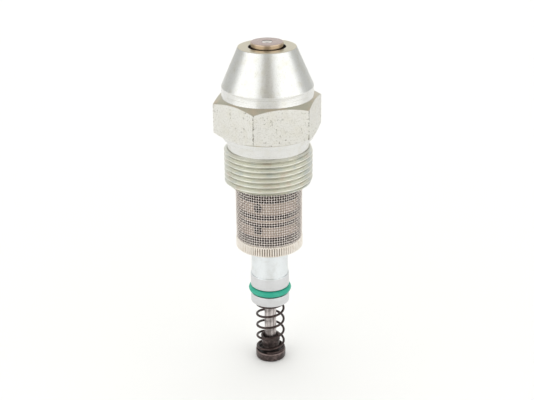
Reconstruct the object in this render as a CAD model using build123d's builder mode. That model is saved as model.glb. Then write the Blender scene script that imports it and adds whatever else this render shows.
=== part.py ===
from build123d import *
from math import cos, pi, radians, sin, sqrt, tan
import os

# A screw-in needle cartridge for spill-return oil atomising: a threaded head that holds the orifice
# and swirl disc, a return stem with a strainer round it, and a needle that a spring holds open.
# Frame: +Z points out of the orifice, and the origin is on the axis in the plane of the seat face,
# which is the underside of the washer face below the hexagon. Lengths are millimetres.

# ---- driving dimensions ----
thread_d = 25.0  # major diameter of M25 x 1.5; the thread is left as a plain cylinder
hex_af = 27.0  # across flats
washer_face_d = 25.6
band_d = 25.6
cone_top_d = 16.07
neck_d = 23.0
orifice_d = 1.2
stem_upper_d = 10.7
stem_lower_d = 11.34
rod_d = 3.5
needle_nose_d = 2.4
knob_d = 9.0
spring_od = 8.7
spring_wire_d = 0.7
mesh_od = 19.14
end_ring_d = 19.4
travel = 2.5  # needle stroke from open to shut

# ---- heights along the axis ----
thread_end_z = -13.5
thread_start_z = -3.0
washer_face_z = 1.08
band_bottom_z = 11.85
cone_base_z = 14.75
cone_top_z = 25.5
insert_top_z = 26.8
mesh_bottom_z = -30.5
end_ring_bottom_z = -33.6
stem_step_z = -42.8
stem_bottom_z = -52.3
flange_top_z = -68.6
knob_bottom_z = -71.2
hub_top_z = -64.0

# ---- fits ----
slide_gap = 0.03  # radial running fit of the needle in its guides
seat_gap = 0.05  # space left at the needle's two stops
thread_gap = 0.03  # radial space between parts of a screwed joint
press_gap = 0.02  # radial space of a pressed or soldered joint
loose_gap = 0.1  # radial space where a part only drops in

# ---- bores of the body ----
strainer_bore_r = 10.2
stem_thread_r = 9.0
chamber_r = 7.0
insert_hole_r = 5.15
strainer_shoulder_z = -4.5
flange_seat_z = 4.5
insert_shoulder_z = 22.5

# ---- stack inside the cone ----
insert_flange_z = 20.0
swirl_disc_z = 16.5
clamp_nut_z = 10.5
gasket_z = 10.0
disc_r = chamber_r - 0.05
swirl_chamber_r = 3.0
seat_z = 23.0  # edge where the needle shuts the orifice
recess_z = 26.3
recess_r = 1.5

# ---- return stem ----
stem_bore_r = 3.3
stem_tube_r = 4.3
stem_flange_top_z = 3.5
supply_hole_d = 1.9
supply_hole_circle_r = 6.4
supply_holes = 6
o_ring_z = -47.6
o_ring_section = 1.8
o_ring_od = 12.6
o_ring_groove_r = 4.49
o_ring_groove_width = 2.4

# ---- strainer ----
core_or = 8.2
core_ir = 7.4
land_r = 8.93
lands = ((-17.3, -20.6), (-22.3, -23.3), (-24.4, -27.6))  # bands that hold the gauze off the core
port_d = 2.7
port_rows = (-18.7, -25.5)
ports_per_row = 4
port_turn = -111.0  # angle of the first port in each row
mesh_ir = 8.97
top_ring_bottom_z = -8.0
mesh_top_z = -5.6
knurls = 86
knurl_depth = 0.32

# ---- needle and its guides ----
front_guide_z = 0.0
front_guide_length = 4.0
rear_guide_top_z = -44.0
rear_guide_bottom_z = -51.0
guide_r = stem_bore_r - press_gap
clip_thickness = 0.6
stop_clip_or = 2.75
nose_step_z = -4.0
nose_half_angle = 30.0
nose_tip_r = 0.25
rod_end_z = -68.9
hub_r_top = 2.85
hub_r_bottom = 2.45
jam_screw_r = 1.5

hex_corner_r = hex_af / sqrt(3)
hex_turn = 15.0
chamfer_slope = tan(radians(25.6))


def finish_piece(piece, name):
    """Names a finished sub-part and writes it to its own file."""
    piece.part.label = name
    export_step(piece.part, f"parts/{name}.step")


os.makedirs("parts", exist_ok=True)

# ---- nozzle body: cone, band, hexagon, washer face, neck and thread ----
hex_tip_r = hex_corner_r + 0.5
with BuildPart() as nozzle_body:
    with BuildSketch(Plane.XY):
        RegularPolygon(radius=hex_corner_r, side_count=6, rotation=hex_turn)
    extrude(amount=band_bottom_z)
    with BuildSketch(Plane.XZ):
        with BuildLine():
            Polyline(
                (0, 0),
                (washer_face_d / 2, 0),
                (washer_face_d / 2, washer_face_z),
                (hex_tip_r, washer_face_z + (hex_tip_r - washer_face_d / 2) * chamfer_slope),
                (hex_tip_r, band_bottom_z - (hex_tip_r - band_d / 2) * chamfer_slope),
                (band_d / 2, band_bottom_z),
                (0, band_bottom_z),
                close=True,
            )
        make_face()
    revolve(axis=Axis.Z, mode=Mode.INTERSECT)
    with BuildSketch(Plane.XZ):
        with BuildLine():
            Polyline(
                (0, band_bottom_z),
                (band_d / 2, band_bottom_z),
                (band_d / 2, cone_base_z),
                (cone_top_d / 2, cone_top_z),
                (0, cone_top_z),
                close=True,
            )
        make_face()
    revolve(axis=Axis.Z)
    with BuildSketch(Plane.XZ):
        with BuildLine():
            Polyline(
                (0, 0),
                (neck_d / 2, 0),
                (neck_d / 2, thread_start_z),
                (12.0, thread_start_z),
                (thread_d / 2, thread_start_z - 0.9),
                (thread_d / 2, thread_end_z + 0.45),
                (neck_d / 2 + 0.15, thread_end_z),
                (0, thread_end_z),
                close=True,
            )
        make_face()
    revolve(axis=Axis.Z)
    with BuildSketch(Plane.XZ):
        with BuildLine():
            Polyline(
                (0, thread_end_z),
                (strainer_bore_r, thread_end_z),
                (strainer_bore_r, strainer_shoulder_z),
                (stem_thread_r, strainer_shoulder_z),
                (stem_thread_r, flange_seat_z),
                (chamber_r, flange_seat_z + 1.2),
                (chamber_r, insert_shoulder_z),
                (insert_hole_r, insert_shoulder_z),
                (insert_hole_r, cone_top_z),
                (0, cone_top_z),
                close=True,
            )
        make_face()
    revolve(axis=Axis.Z, mode=Mode.SUBTRACT)
    rim = nozzle_body.edges().filter_by(GeomType.CIRCLE).group_by(Axis.Z)[-1].sort_by(SortBy.RADIUS)
    chamfer(rim[-1], 0.25)
finish_piece(nozzle_body, "nozzle_body")

# ---- orifice insert: flange, spigot, orifice, swirl cone and spray recess ----
insert_r = 4.5
with BuildPart() as orifice_insert:
    with BuildSketch(Plane.XZ):
        with BuildLine():
            Polyline(
                (swirl_chamber_r, insert_flange_z),
                (disc_r, insert_flange_z),
                (disc_r, insert_shoulder_z),
                (insert_r, insert_shoulder_z),
                (insert_r, insert_top_z - 0.2),
                (insert_r - 0.2, insert_top_z),
                (recess_r, insert_top_z),
                (orifice_d / 2, recess_z),
                (orifice_d / 2, seat_z),
                close=True,
            )
        make_face()
    revolve(axis=Axis.Z)
finish_piece(orifice_insert, "orifice_insert")

# ---- swirl disc: tangential slots on top and supply notches in the rim ----
swirl_slots = 4
slot_width = 0.8
slot_depth = 0.8
notch_inner_r = 5.0
return_port_r = 1.9
with BuildPart() as swirl_disc:
    with BuildSketch(Plane.XY.offset(swirl_disc_z)):
        Circle(disc_r)
        Circle(return_port_r, mode=Mode.SUBTRACT)
        with PolarLocations(notch_inner_r + 1.5, swirl_slots):
            Rectangle(3.0, 1.9, mode=Mode.SUBTRACT)
    extrude(amount=insert_flange_z - swirl_disc_z)
    with BuildSketch(Plane.XY.offset(insert_flange_z)):
        with PolarLocations(0, swirl_slots):
            with Locations((3.6, swirl_chamber_r - slot_width / 2)):
                Rectangle(4.6, slot_width)
    extrude(amount=-slot_depth, mode=Mode.SUBTRACT)
finish_piece(swirl_disc, "swirl_disc")

# ---- clamp nut: holds disc and insert up, with supply holes and a hexagon socket ----
nut_bore_r = 2.2
nut_hole_circle_r = 5.6
with BuildPart() as clamp_nut:
    with BuildSketch(Plane.XY.offset(clamp_nut_z)):
        Circle(chamber_r - thread_gap)
        Circle(nut_bore_r, mode=Mode.SUBTRACT)
        with PolarLocations(nut_hole_circle_r, swirl_slots):
            Circle(0.8, mode=Mode.SUBTRACT)
    extrude(amount=swirl_disc_z - clamp_nut_z)
    with BuildSketch(Plane.XY.offset(clamp_nut_z)):
        RegularPolygon(radius=2.5, side_count=6, major_radius=False)
    extrude(amount=2.0, mode=Mode.SUBTRACT)
finish_piece(clamp_nut, "clamp_nut")

# ---- stem gasket: copper ring between stem and clamp nut ----
with BuildPart() as stem_gasket:
    with BuildSketch(Plane.XY.offset(gasket_z)):
        Circle(stem_tube_r - 0.1)
        Circle(3.0, mode=Mode.SUBTRACT)
    extrude(amount=clamp_nut_z - gasket_z)
finish_piece(stem_gasket, "stem_gasket")

# ---- return stem: threaded flange, long tube, O-ring groove and outlet ----
stem_upper_r = stem_upper_d / 2
stem_lower_r = stem_lower_d / 2
groove_top_z = o_ring_z + o_ring_groove_width / 2
groove_bottom_z = o_ring_z - o_ring_groove_width / 2
clip_groove_z = rear_guide_bottom_z
clip_groove_r = 3.65
with BuildPart() as return_stem:
    with BuildSketch(Plane.XZ):
        with BuildLine():
            Polyline(
                (stem_bore_r, gasket_z),
                (stem_tube_r, gasket_z),
                (stem_tube_r, stem_flange_top_z),
                (stem_thread_r - thread_gap, stem_flange_top_z),
                (stem_thread_r - thread_gap, strainer_shoulder_z),
                (stem_upper_r, strainer_shoulder_z),
                (stem_upper_r, stem_step_z),
                (stem_lower_r - 0.12, stem_step_z),
                (stem_lower_r, stem_step_z - 0.12),
                (stem_lower_r, groove_top_z + 0.15),
                (stem_lower_r - 0.15, groove_top_z),
                (o_ring_groove_r, groove_top_z),
                (o_ring_groove_r, groove_bottom_z),
                (stem_lower_r - 0.15, groove_bottom_z),
                (stem_lower_r, groove_bottom_z - 0.15),
                (stem_lower_r, stem_bottom_z + 0.6),
                (4.45, stem_bottom_z),
                (stem_bore_r, stem_bottom_z),
                (stem_bore_r, clip_groove_z - clip_thickness),
                (clip_groove_r, clip_groove_z - clip_thickness),
                (clip_groove_r, clip_groove_z),
                (stem_bore_r, clip_groove_z),
                close=True,
            )
        make_face()
    revolve(axis=Axis.Z)
    with BuildSketch(Plane.XY.offset(stem_flange_top_z)):
        with PolarLocations(supply_hole_circle_r, supply_holes):
            Circle(supply_hole_d / 2)
    extrude(amount=strainer_shoulder_z - stem_flange_top_z, mode=Mode.SUBTRACT)
finish_piece(return_stem, "return_stem")

# ---- strainer core: drilled sleeve that carries the gauze ----
core_bottom_z = -31.7
with BuildPart() as strainer_core:
    with BuildSketch(Plane.XY.offset(strainer_shoulder_z)):
        Circle(core_or)
        Circle(core_ir, mode=Mode.SUBTRACT)
    extrude(amount=core_bottom_z - strainer_shoulder_z)
    for land_top_z, land_bottom_z in lands:
        with BuildSketch(Plane.XY.offset(land_bottom_z)):
            Circle(land_r)
            Circle(core_ir, mode=Mode.SUBTRACT)
        extrude(amount=land_top_z - land_bottom_z)
    for row_z in port_rows:
        for index in range(ports_per_row):
            turn = port_turn + index * 360 / ports_per_row
            outward = (cos(radians(turn)), sin(radians(turn)), 0)
            with BuildSketch(Plane(origin=(0, 0, row_z), x_dir=(0, 0, 1), z_dir=outward)):
                Circle(port_d / 2)
            extrude(amount=land_r + 1, mode=Mode.SUBTRACT)
finish_piece(strainer_core, "strainer_core")

# ---- strainer mesh: the gauze, as a tube of its overall thickness ----
with BuildPart() as strainer_mesh:
    with BuildSketch(Plane.XY.offset(mesh_bottom_z)):
        Circle(mesh_od / 2)
        Circle(mesh_ir, mode=Mode.SUBTRACT)
    extrude(amount=mesh_top_z - mesh_bottom_z)
finish_piece(strainer_mesh, "strainer_mesh")

# ---- strainer top ring: soldered over the top end of the gauze ----
with BuildPart() as strainer_top_ring:
    with BuildSketch(Plane.XZ):
        with BuildLine():
            Polyline(
                (core_or + press_gap, strainer_shoulder_z),
                (strainer_bore_r - loose_gap, strainer_shoulder_z),
                (strainer_bore_r - loose_gap, top_ring_bottom_z),
                (mesh_od / 2 + press_gap, top_ring_bottom_z),
                (mesh_od / 2 + press_gap, mesh_top_z),
                (core_or + press_gap, mesh_top_z),
                close=True,
            )
        make_face()
    revolve(axis=Axis.Z)
finish_piece(strainer_top_ring, "strainer_top_ring")

# ---- strainer end ring: knurled, closes the strainer's lower end round the stem ----
end_ring_r = end_ring_d / 2
seal_top_z = -31.95
seal_bottom_z = -32.95
seal_groove_r = 6.35
with BuildPart() as strainer_end_ring:
    with BuildSketch(Plane.XZ):
        with BuildLine():
            Polyline(
                (stem_upper_r + press_gap, core_bottom_z),
                (core_or + press_gap, core_bottom_z),
                (core_or + press_gap, mesh_bottom_z + 1.5),
                (mesh_ir - press_gap, mesh_bottom_z + 1.5),
                (mesh_ir - press_gap, mesh_bottom_z),
                (end_ring_r - 0.3, mesh_bottom_z),
                (end_ring_r, mesh_bottom_z - 0.3),
                (end_ring_r, end_ring_bottom_z + 0.3),
                (end_ring_r - 0.3, end_ring_bottom_z),
                (stem_upper_r + press_gap, end_ring_bottom_z),
                (stem_upper_r + press_gap, seal_bottom_z),
                (seal_groove_r, seal_bottom_z),
                (seal_groove_r, seal_top_z),
                (stem_upper_r + press_gap, seal_top_z),
                close=True,
            )
        make_face()
    revolve(axis=Axis.Z)
    knurl_half = pi * end_ring_r / knurls * 0.45
    with BuildSketch(Plane.XY.offset(mesh_bottom_z - 0.3)):
        with PolarLocations(end_ring_r, knurls):
            with BuildLine():
                Polyline(
                    (-knurl_depth, 0),
                    (0.1, knurl_half),
                    (0.1, -knurl_half),
                    close=True,
                )
            make_face()
    extrude(amount=end_ring_bottom_z - mesh_bottom_z + 0.3, mode=Mode.SUBTRACT)
finish_piece(strainer_end_ring, "strainer_end_ring")

# ---- strainer seal: small O-ring in the end ring's groove ----
seal_section = 0.96
with BuildPart() as strainer_seal:
    with BuildSketch(Plane.XZ):
        with Locations((stem_upper_r + seal_section / 2, (seal_top_z + seal_bottom_z) / 2)):
            Circle(seal_section / 2)
    revolve(axis=Axis.Z)
finish_piece(strainer_seal, "strainer_seal")

# ---- stem O-ring ----
with BuildPart() as stem_o_ring:
    with BuildSketch(Plane.XZ):
        with Locations((o_ring_od / 2 - o_ring_section / 2, o_ring_z)):
            Circle(o_ring_section / 2)
    revolve(axis=Axis.Z)
finish_piece(stem_o_ring, "stem_o_ring")


def guide_bush(bottom_z, top_z, bore_r, slots):
    """A bush with return slots in its outside, from bottom_z to top_z."""
    with BuildPart() as bush:
        with BuildSketch(Plane.XY.offset(bottom_z)):
            Circle(guide_r)
            Circle(bore_r, mode=Mode.SUBTRACT)
            with PolarLocations(guide_r, slots):
                Rectangle(1.7, 1.5, mode=Mode.SUBTRACT)
        extrude(amount=top_z - bottom_z)
    return bush


front_guide = guide_bush(
    front_guide_z, front_guide_z + front_guide_length, needle_nose_d / 2 + slide_gap, 3
)
finish_piece(front_guide, "front_guide")
rear_guide = guide_bush(rear_guide_bottom_z, rear_guide_top_z, rod_d / 2 + slide_gap, 3)
finish_piece(rear_guide, "rear_guide")


def snap_ring(bottom_z, inner_r, outer_r, gap_width, gap_turn):
    """A flat split ring, open over gap_width at the angle gap_turn."""
    with BuildPart() as ring:
        with BuildSketch(Plane.XY.offset(bottom_z)):
            Circle(outer_r)
            Circle(inner_r, mode=Mode.SUBTRACT)
            with PolarLocations((inner_r + outer_r) / 2, 1, start_angle=gap_turn):
                Rectangle(outer_r, gap_width, mode=Mode.SUBTRACT)
        extrude(amount=clip_thickness)
    return ring


rear_guide_clip = snap_ring(clip_groove_z - clip_thickness, 2.75, clip_groove_r - 0.02, 1.6, 90)
finish_piece(rear_guide_clip, "rear_guide_clip")

# ---- needle: threaded rod end, rod, clip groove, nose and shut-off cone, drawn open ----
rod_r = rod_d / 2
nose_r = needle_nose_d / 2
clip_z = rear_guide_top_z + seat_gap
clip_neck_r = 1.2
contact_r = orifice_d / 2 - seat_gap * sin(radians(nose_half_angle))
tip_z = seat_z - travel + (contact_r - nose_tip_r) / tan(radians(nose_half_angle))
cone_bottom_z = tip_z - (nose_r - nose_tip_r) / tan(radians(nose_half_angle))
with BuildPart() as needle:
    with BuildSketch(Plane.XZ):
        with BuildLine():
            Polyline(
                (0, rod_end_z),
                (rod_r - 0.3, rod_end_z),
                (rod_r, rod_end_z + 0.3),
                (rod_r, clip_z),
                (clip_neck_r, clip_z),
                (clip_neck_r, clip_z + clip_thickness + 0.04),
                (rod_r, clip_z + clip_thickness + 0.04),
                (rod_r, nose_step_z - 0.4),
                (nose_r, nose_step_z),
                (nose_r, cone_bottom_z),
                (nose_tip_r, tip_z),
                (0, tip_z),
                close=True,
            )
        make_face()
    revolve(axis=Axis.Z)
finish_piece(needle, "needle")

needle_stop_clip = snap_ring(clip_z, clip_neck_r + 0.02, stop_clip_or, 2.0, 0)
finish_piece(needle_stop_clip, "needle_stop_clip")

# ---- needle knob: flange for the spring, cupped hub, tapped through ----
with BuildPart() as needle_knob:
    with BuildSketch(Plane.XZ):
        with BuildLine():
            Polyline(
                (rod_r + thread_gap, knob_bottom_z),
                (knob_d / 2, knob_bottom_z),
                (knob_d / 2, flange_top_z),
                (hub_r_bottom, flange_top_z),
                (hub_r_top, hub_top_z),
                (hub_r_top - 0.45, hub_top_z),
                (rod_r + thread_gap, hub_top_z - 1.1),
                close=True,
            )
        make_face()
    revolve(axis=Axis.Z)
    flange_rims = needle_knob.edges().filter_by(GeomType.CIRCLE).filter_by(
        lambda edge: abs(edge.radius - knob_d / 2) < 0.01
    )
    chamfer(flange_rims.sort_by(Axis.Z)[-1], 0.35)
    fillet(flange_rims.sort_by(Axis.Z)[0], 0.55)
finish_piece(needle_knob, "needle_knob")

# ---- knob jam screw: grub screw below the rod's end ----
jam_top_z = rod_end_z - 0.05
jam_bottom_z = knob_bottom_z + 0.15
with BuildPart() as knob_jam_screw:
    with BuildSketch(Plane.XY.offset(jam_bottom_z)):
        Circle(jam_screw_r)
    extrude(amount=jam_top_z - jam_bottom_z)
    with BuildSketch(Plane.XY.offset(jam_bottom_z)):
        RegularPolygon(radius=0.75, side_count=6, major_radius=False)
    extrude(amount=1.2, mode=Mode.SUBTRACT)
finish_piece(knob_jam_screw, "knob_jam_screw")

# ---- return spring: closed ends, right-handed, between stem and knob ----
spring_r = (spring_od - spring_wire_d) / 2
end_clearance = 0.01
coil_low_z = flange_top_z + spring_wire_d / 2 + end_clearance
coil_high_z = stem_bottom_z - spring_wire_d / 2 - end_clearance
rise_turns = 5.0
ramp_turns = 0.8
rest_turns = 0.3
points_per_turn = 16


def coil_height(turn):
    """Height of the wire's middle after a number of turns, flat at both ends."""
    pitch = (coil_high_z - coil_low_z) / (rise_turns - ramp_turns)

    def ramp(part):
        part = min(max(part, 0.0), 1.0)
        return part**3 - part**4 / 2

    low = ramp_turns * ramp(turn / ramp_turns)
    high = ramp_turns * ramp((rise_turns - turn) / ramp_turns)
    middle = min(max(turn - ramp_turns, 0.0), rise_turns - 2 * ramp_turns)
    return coil_low_z + pitch * (low + middle + ramp_turns / 2 - high)


coil_points = []
for step in range(round((rise_turns + 2 * rest_turns) * points_per_turn) + 1):
    turn = step / points_per_turn - rest_turns
    angle = 2 * pi * turn
    coil_points.append((spring_r * cos(angle), spring_r * sin(angle), coil_height(turn)))
with BuildPart() as return_spring:
    with BuildLine() as coil_line:
        Spline(*coil_points)
    with BuildSketch(Plane(origin=coil_line.line @ 0, z_dir=coil_line.line % 0)):
        Circle(spring_wire_d / 2)
    sweep()
finish_piece(return_spring, "return_spring")
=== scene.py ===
"""Needle cartridge for spill-return oil atomising: the looks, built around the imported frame.

Everything is in metres, in the frame's own axes: +Z points out of the orifice, and the origin is
on the axis in the plane of the seat face. Lengths in the classes are millimetres.
"""

import logging
from dataclasses import dataclass
from enum import Enum
from math import atan2, ceil, cos, floor, hypot, pi, radians, sin, sqrt, tan
from typing import Callable, Sequence

import bmesh
import bpy
from mathutils import Matrix, Vector


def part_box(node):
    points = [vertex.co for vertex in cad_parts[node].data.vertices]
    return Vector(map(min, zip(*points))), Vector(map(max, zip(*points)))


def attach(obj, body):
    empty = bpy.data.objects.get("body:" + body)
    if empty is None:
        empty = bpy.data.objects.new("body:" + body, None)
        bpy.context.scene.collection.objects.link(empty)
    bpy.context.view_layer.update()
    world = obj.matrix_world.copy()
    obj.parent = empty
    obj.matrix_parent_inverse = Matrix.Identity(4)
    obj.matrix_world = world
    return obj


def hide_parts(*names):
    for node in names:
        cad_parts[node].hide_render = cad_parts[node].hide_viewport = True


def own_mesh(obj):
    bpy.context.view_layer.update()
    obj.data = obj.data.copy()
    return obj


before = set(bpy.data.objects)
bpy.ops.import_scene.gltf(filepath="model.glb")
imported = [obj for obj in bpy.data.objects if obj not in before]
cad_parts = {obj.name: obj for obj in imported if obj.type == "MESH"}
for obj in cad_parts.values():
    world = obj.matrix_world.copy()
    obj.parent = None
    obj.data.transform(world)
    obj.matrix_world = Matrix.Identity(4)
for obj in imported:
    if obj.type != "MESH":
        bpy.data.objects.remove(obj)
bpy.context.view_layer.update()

MM = 0.001
LOG = logging.getLogger("needle_cartridge")

Point = tuple[float, float]  # radius and height
Corner = tuple[float, float, float]  # radius, height and rounding
Column = Callable[[float], list[Point]]  # outline at an angle
SlotOf = Callable[[float, float, float], int]  # material slot of a face, from its middle


class Body(Enum):
    """The CAD bodies that a piece can ride on."""

    HOUSING = "housing"
    NEEDLE = "needle_set"


# ---------------------------------------------------------------- mesh tools

WELD = 1e-5  # points closer than this, in millimetres, are one point
STEEP = 0.9  # cosine past which a path runs too nearly along the tube's side direction
TIP = 0.35  # how far the first ring of a tapered end stands from the tip, in rings


def smoothstep(value: float) -> float:
    """Ease from 0 to 1.

    Args:
        value: Any number; it is held between 0 and 1.

    Returns:
        The eased value.
    """
    value = min(max(value, 0.0), 1.0)
    return value * value * (3.0 - 2.0 * value)


def rounded(corners: Sequence[Corner], steps: int = 4) -> list[Point]:
    """Round the corners of a closed outline with arcs.

    Args:
        corners: Radius, height and rounding of each corner, in order round the outline.
        steps: Straight pieces in each arc.

    Returns:
        The outline's points, the same number for any corner places.
    """
    points: list[Point] = []
    count = len(corners)
    for index, (r, z, rounding) in enumerate(corners):
        if rounding <= 0.0:
            points.append((r, z))
            continue
        here = Vector((r, z))
        before = Vector(corners[index - 1][:2]) - here
        after = Vector(corners[(index + 1) % count][:2]) - here
        half = before.angle(after) / 2.0
        reach = min(rounding / tan(half), 0.45 * before.length, 0.45 * after.length)
        start = here + before.normalized() * reach
        end = here + after.normalized() * reach
        radius = reach * tan(half)
        centre = here + (before.normalized() + after.normalized()).normalized() * radius / sin(half)
        first = atan2(start.y - centre.y, start.x - centre.x)
        sweep = atan2(end.y - centre.y, end.x - centre.x) - first
        sweep -= 2.0 * pi * floor((sweep + pi) / (2.0 * pi))
        for step in range(steps + 1):
            angle = first + sweep * step / steps
            points.append((centre.x + radius * cos(angle), centre.y + radius * sin(angle)))
    return points


def even_angles(count: int) -> list[float]:
    """Angles evenly spread over a turn.

    Args:
        count: How many.

    Returns:
        The angles in radians.
    """
    return [2.0 * pi * index / count for index in range(count)]


def spin(
    name: str,
    column: Column,
    angles: Sequence[float],
    slot_of: SlotOf | None = None,
    sharp: float = 32.0,
) -> bpy.types.Object:
    """Turn a closed outline about the axis into one closed mesh.

    Args:
        name: The piece's name.
        column: Gives the outline at an angle, as radii and heights in millimetres.
        angles: The angles of the columns, in radians.
        slot_of: Gives a face's material slot from its middle's x, y and z in millimetres.
        sharp: Edges that turn more than this many degrees stay sharp in the shading.

    Returns:
        The new object.
    """
    mesh = bmesh.new()
    rings = []
    for angle in angles:
        across, along = cos(angle), sin(angle)
        rings.append([mesh.verts.new((r * across, r * along, z)) for r, z in column(angle)])
    for index, ring in enumerate(rings):
        following = rings[(index + 1) % len(rings)]
        for k in range(len(ring)):
            after = (k + 1) % len(ring)
            mesh.faces.new((ring[k], following[k], following[after], ring[after]))
    bmesh.ops.remove_doubles(mesh, verts=mesh.verts, dist=WELD)
    bmesh.ops.dissolve_degenerate(mesh, edges=mesh.edges, dist=WELD)
    return finished(name, mesh, slot_of, sharp)


def finished(
    name: str,
    mesh: bmesh.types.BMesh,
    slot_of: SlotOf | None = None,
    sharp: float = 32.0,
) -> bpy.types.Object:
    """Turn a millimetre bmesh into a smooth-shaded object in metres.

    Args:
        name: The piece's name.
        mesh: The mesh, which is freed.
        slot_of: Gives a face's material slot from its middle's x, y and z in millimetres.
        sharp: Edges that turn more than this many degrees stay sharp in the shading.

    Returns:
        The new object, linked to the scene.
    """
    bmesh.ops.recalc_face_normals(mesh, faces=mesh.faces)
    limit = radians(sharp)
    for face in mesh.faces:
        face.smooth = True
        if slot_of is not None:
            middle = face.calc_center_median()
            face.material_index = slot_of(middle.x, middle.y, middle.z)
    for edge in mesh.edges:
        edge.smooth = len(edge.link_faces) == 2 and edge.calc_face_angle(0.0) < limit
    bmesh.ops.scale(mesh, vec=(MM, MM, MM), verts=mesh.verts)
    data = bpy.data.meshes.new(name)
    mesh.to_mesh(data)
    mesh.free()
    piece = bpy.data.objects.new(name, data)
    bpy.context.scene.collection.objects.link(piece)
    return piece


def sweep_tube(
    mesh: bmesh.types.BMesh,
    path: Sequence[Vector],
    radius: float,
    sides: int,
    closed: bool,
    taper: int = 0,
) -> None:
    """Add a round tube along a path to a mesh.

    Args:
        mesh: The mesh that gets the tube.
        path: The middle line's points.
        radius: The tube's radius.
        sides: Sides of its section.
        closed: Whether the last point joins the first.
        taper: Points at each end over which the section thins to a rounded tip.

    """
    count = len(path)
    rings = []
    side = Vector((0.0, 0.0, 1.0))
    for index, point in enumerate(path):
        ahead = path[(index + 1) % count] if closed or index + 1 < count else point
        behind = path[index - 1] if closed or index else point
        tangent = (ahead - behind).normalized()
        if abs(tangent.dot(side)) > STEEP:
            side = Vector((point.x, point.y, 0.0)).normalized()
        out = (side - tangent * side.dot(tangent)).normalized()
        third = tangent.cross(out)
        edge = min(index, count - 1 - index)
        in_tip = 0.0 if closed or edge >= taper else 1.0 - (edge + TIP) / (taper + TIP)
        scale = sqrt(1.0 - in_tip**2)
        ring = []
        for k in range(sides):
            angle = 2.0 * pi * k / sides
            ring.append(mesh.verts.new(point + (out * cos(angle) + third * sin(angle)) * radius * scale))
        rings.append(ring)
    for index in range(count if closed else count - 1):
        ring, following = rings[index], rings[(index + 1) % count]
        for k in range(sides):
            after = (k + 1) % sides
            mesh.faces.new((ring[k], ring[after], following[after], following[k]))
    if not closed:
        mesh.faces.new(rings[0])
        mesh.faces.new(rings[-1])


# ---------------------------------------------------------------- node tools


def colour(code: str) -> tuple[float, float, float, float]:
    """Turn an sRGB hex colour to linear.

    Args:
        code: Six hex digits after a hash sign.

    Returns:
        Linear red, green, blue and an alpha of 1.
    """
    parts = []
    for start in (1, 3, 5):
        value = int(code[start : start + 2], 16) / 255.0
        parts.append(value / 12.92 if value <= 0.04045 else ((value + 0.055) / 1.055) ** 2.4)
    return (parts[0], parts[1], parts[2], 1.0)


Input = float | Sequence[float] | bpy.types.NodeSocket
MIX_A, MIX_B, MIX_RESULT = 6, 7, 2  # the colour sockets of a Mix node
LINE_WAVER = 2.5  # how many times a tool line changes along a quarter of its turn
ACROSS_THE_LINES = 0.25  # quarter turn, which spreads a highlight across the tool lines


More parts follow.
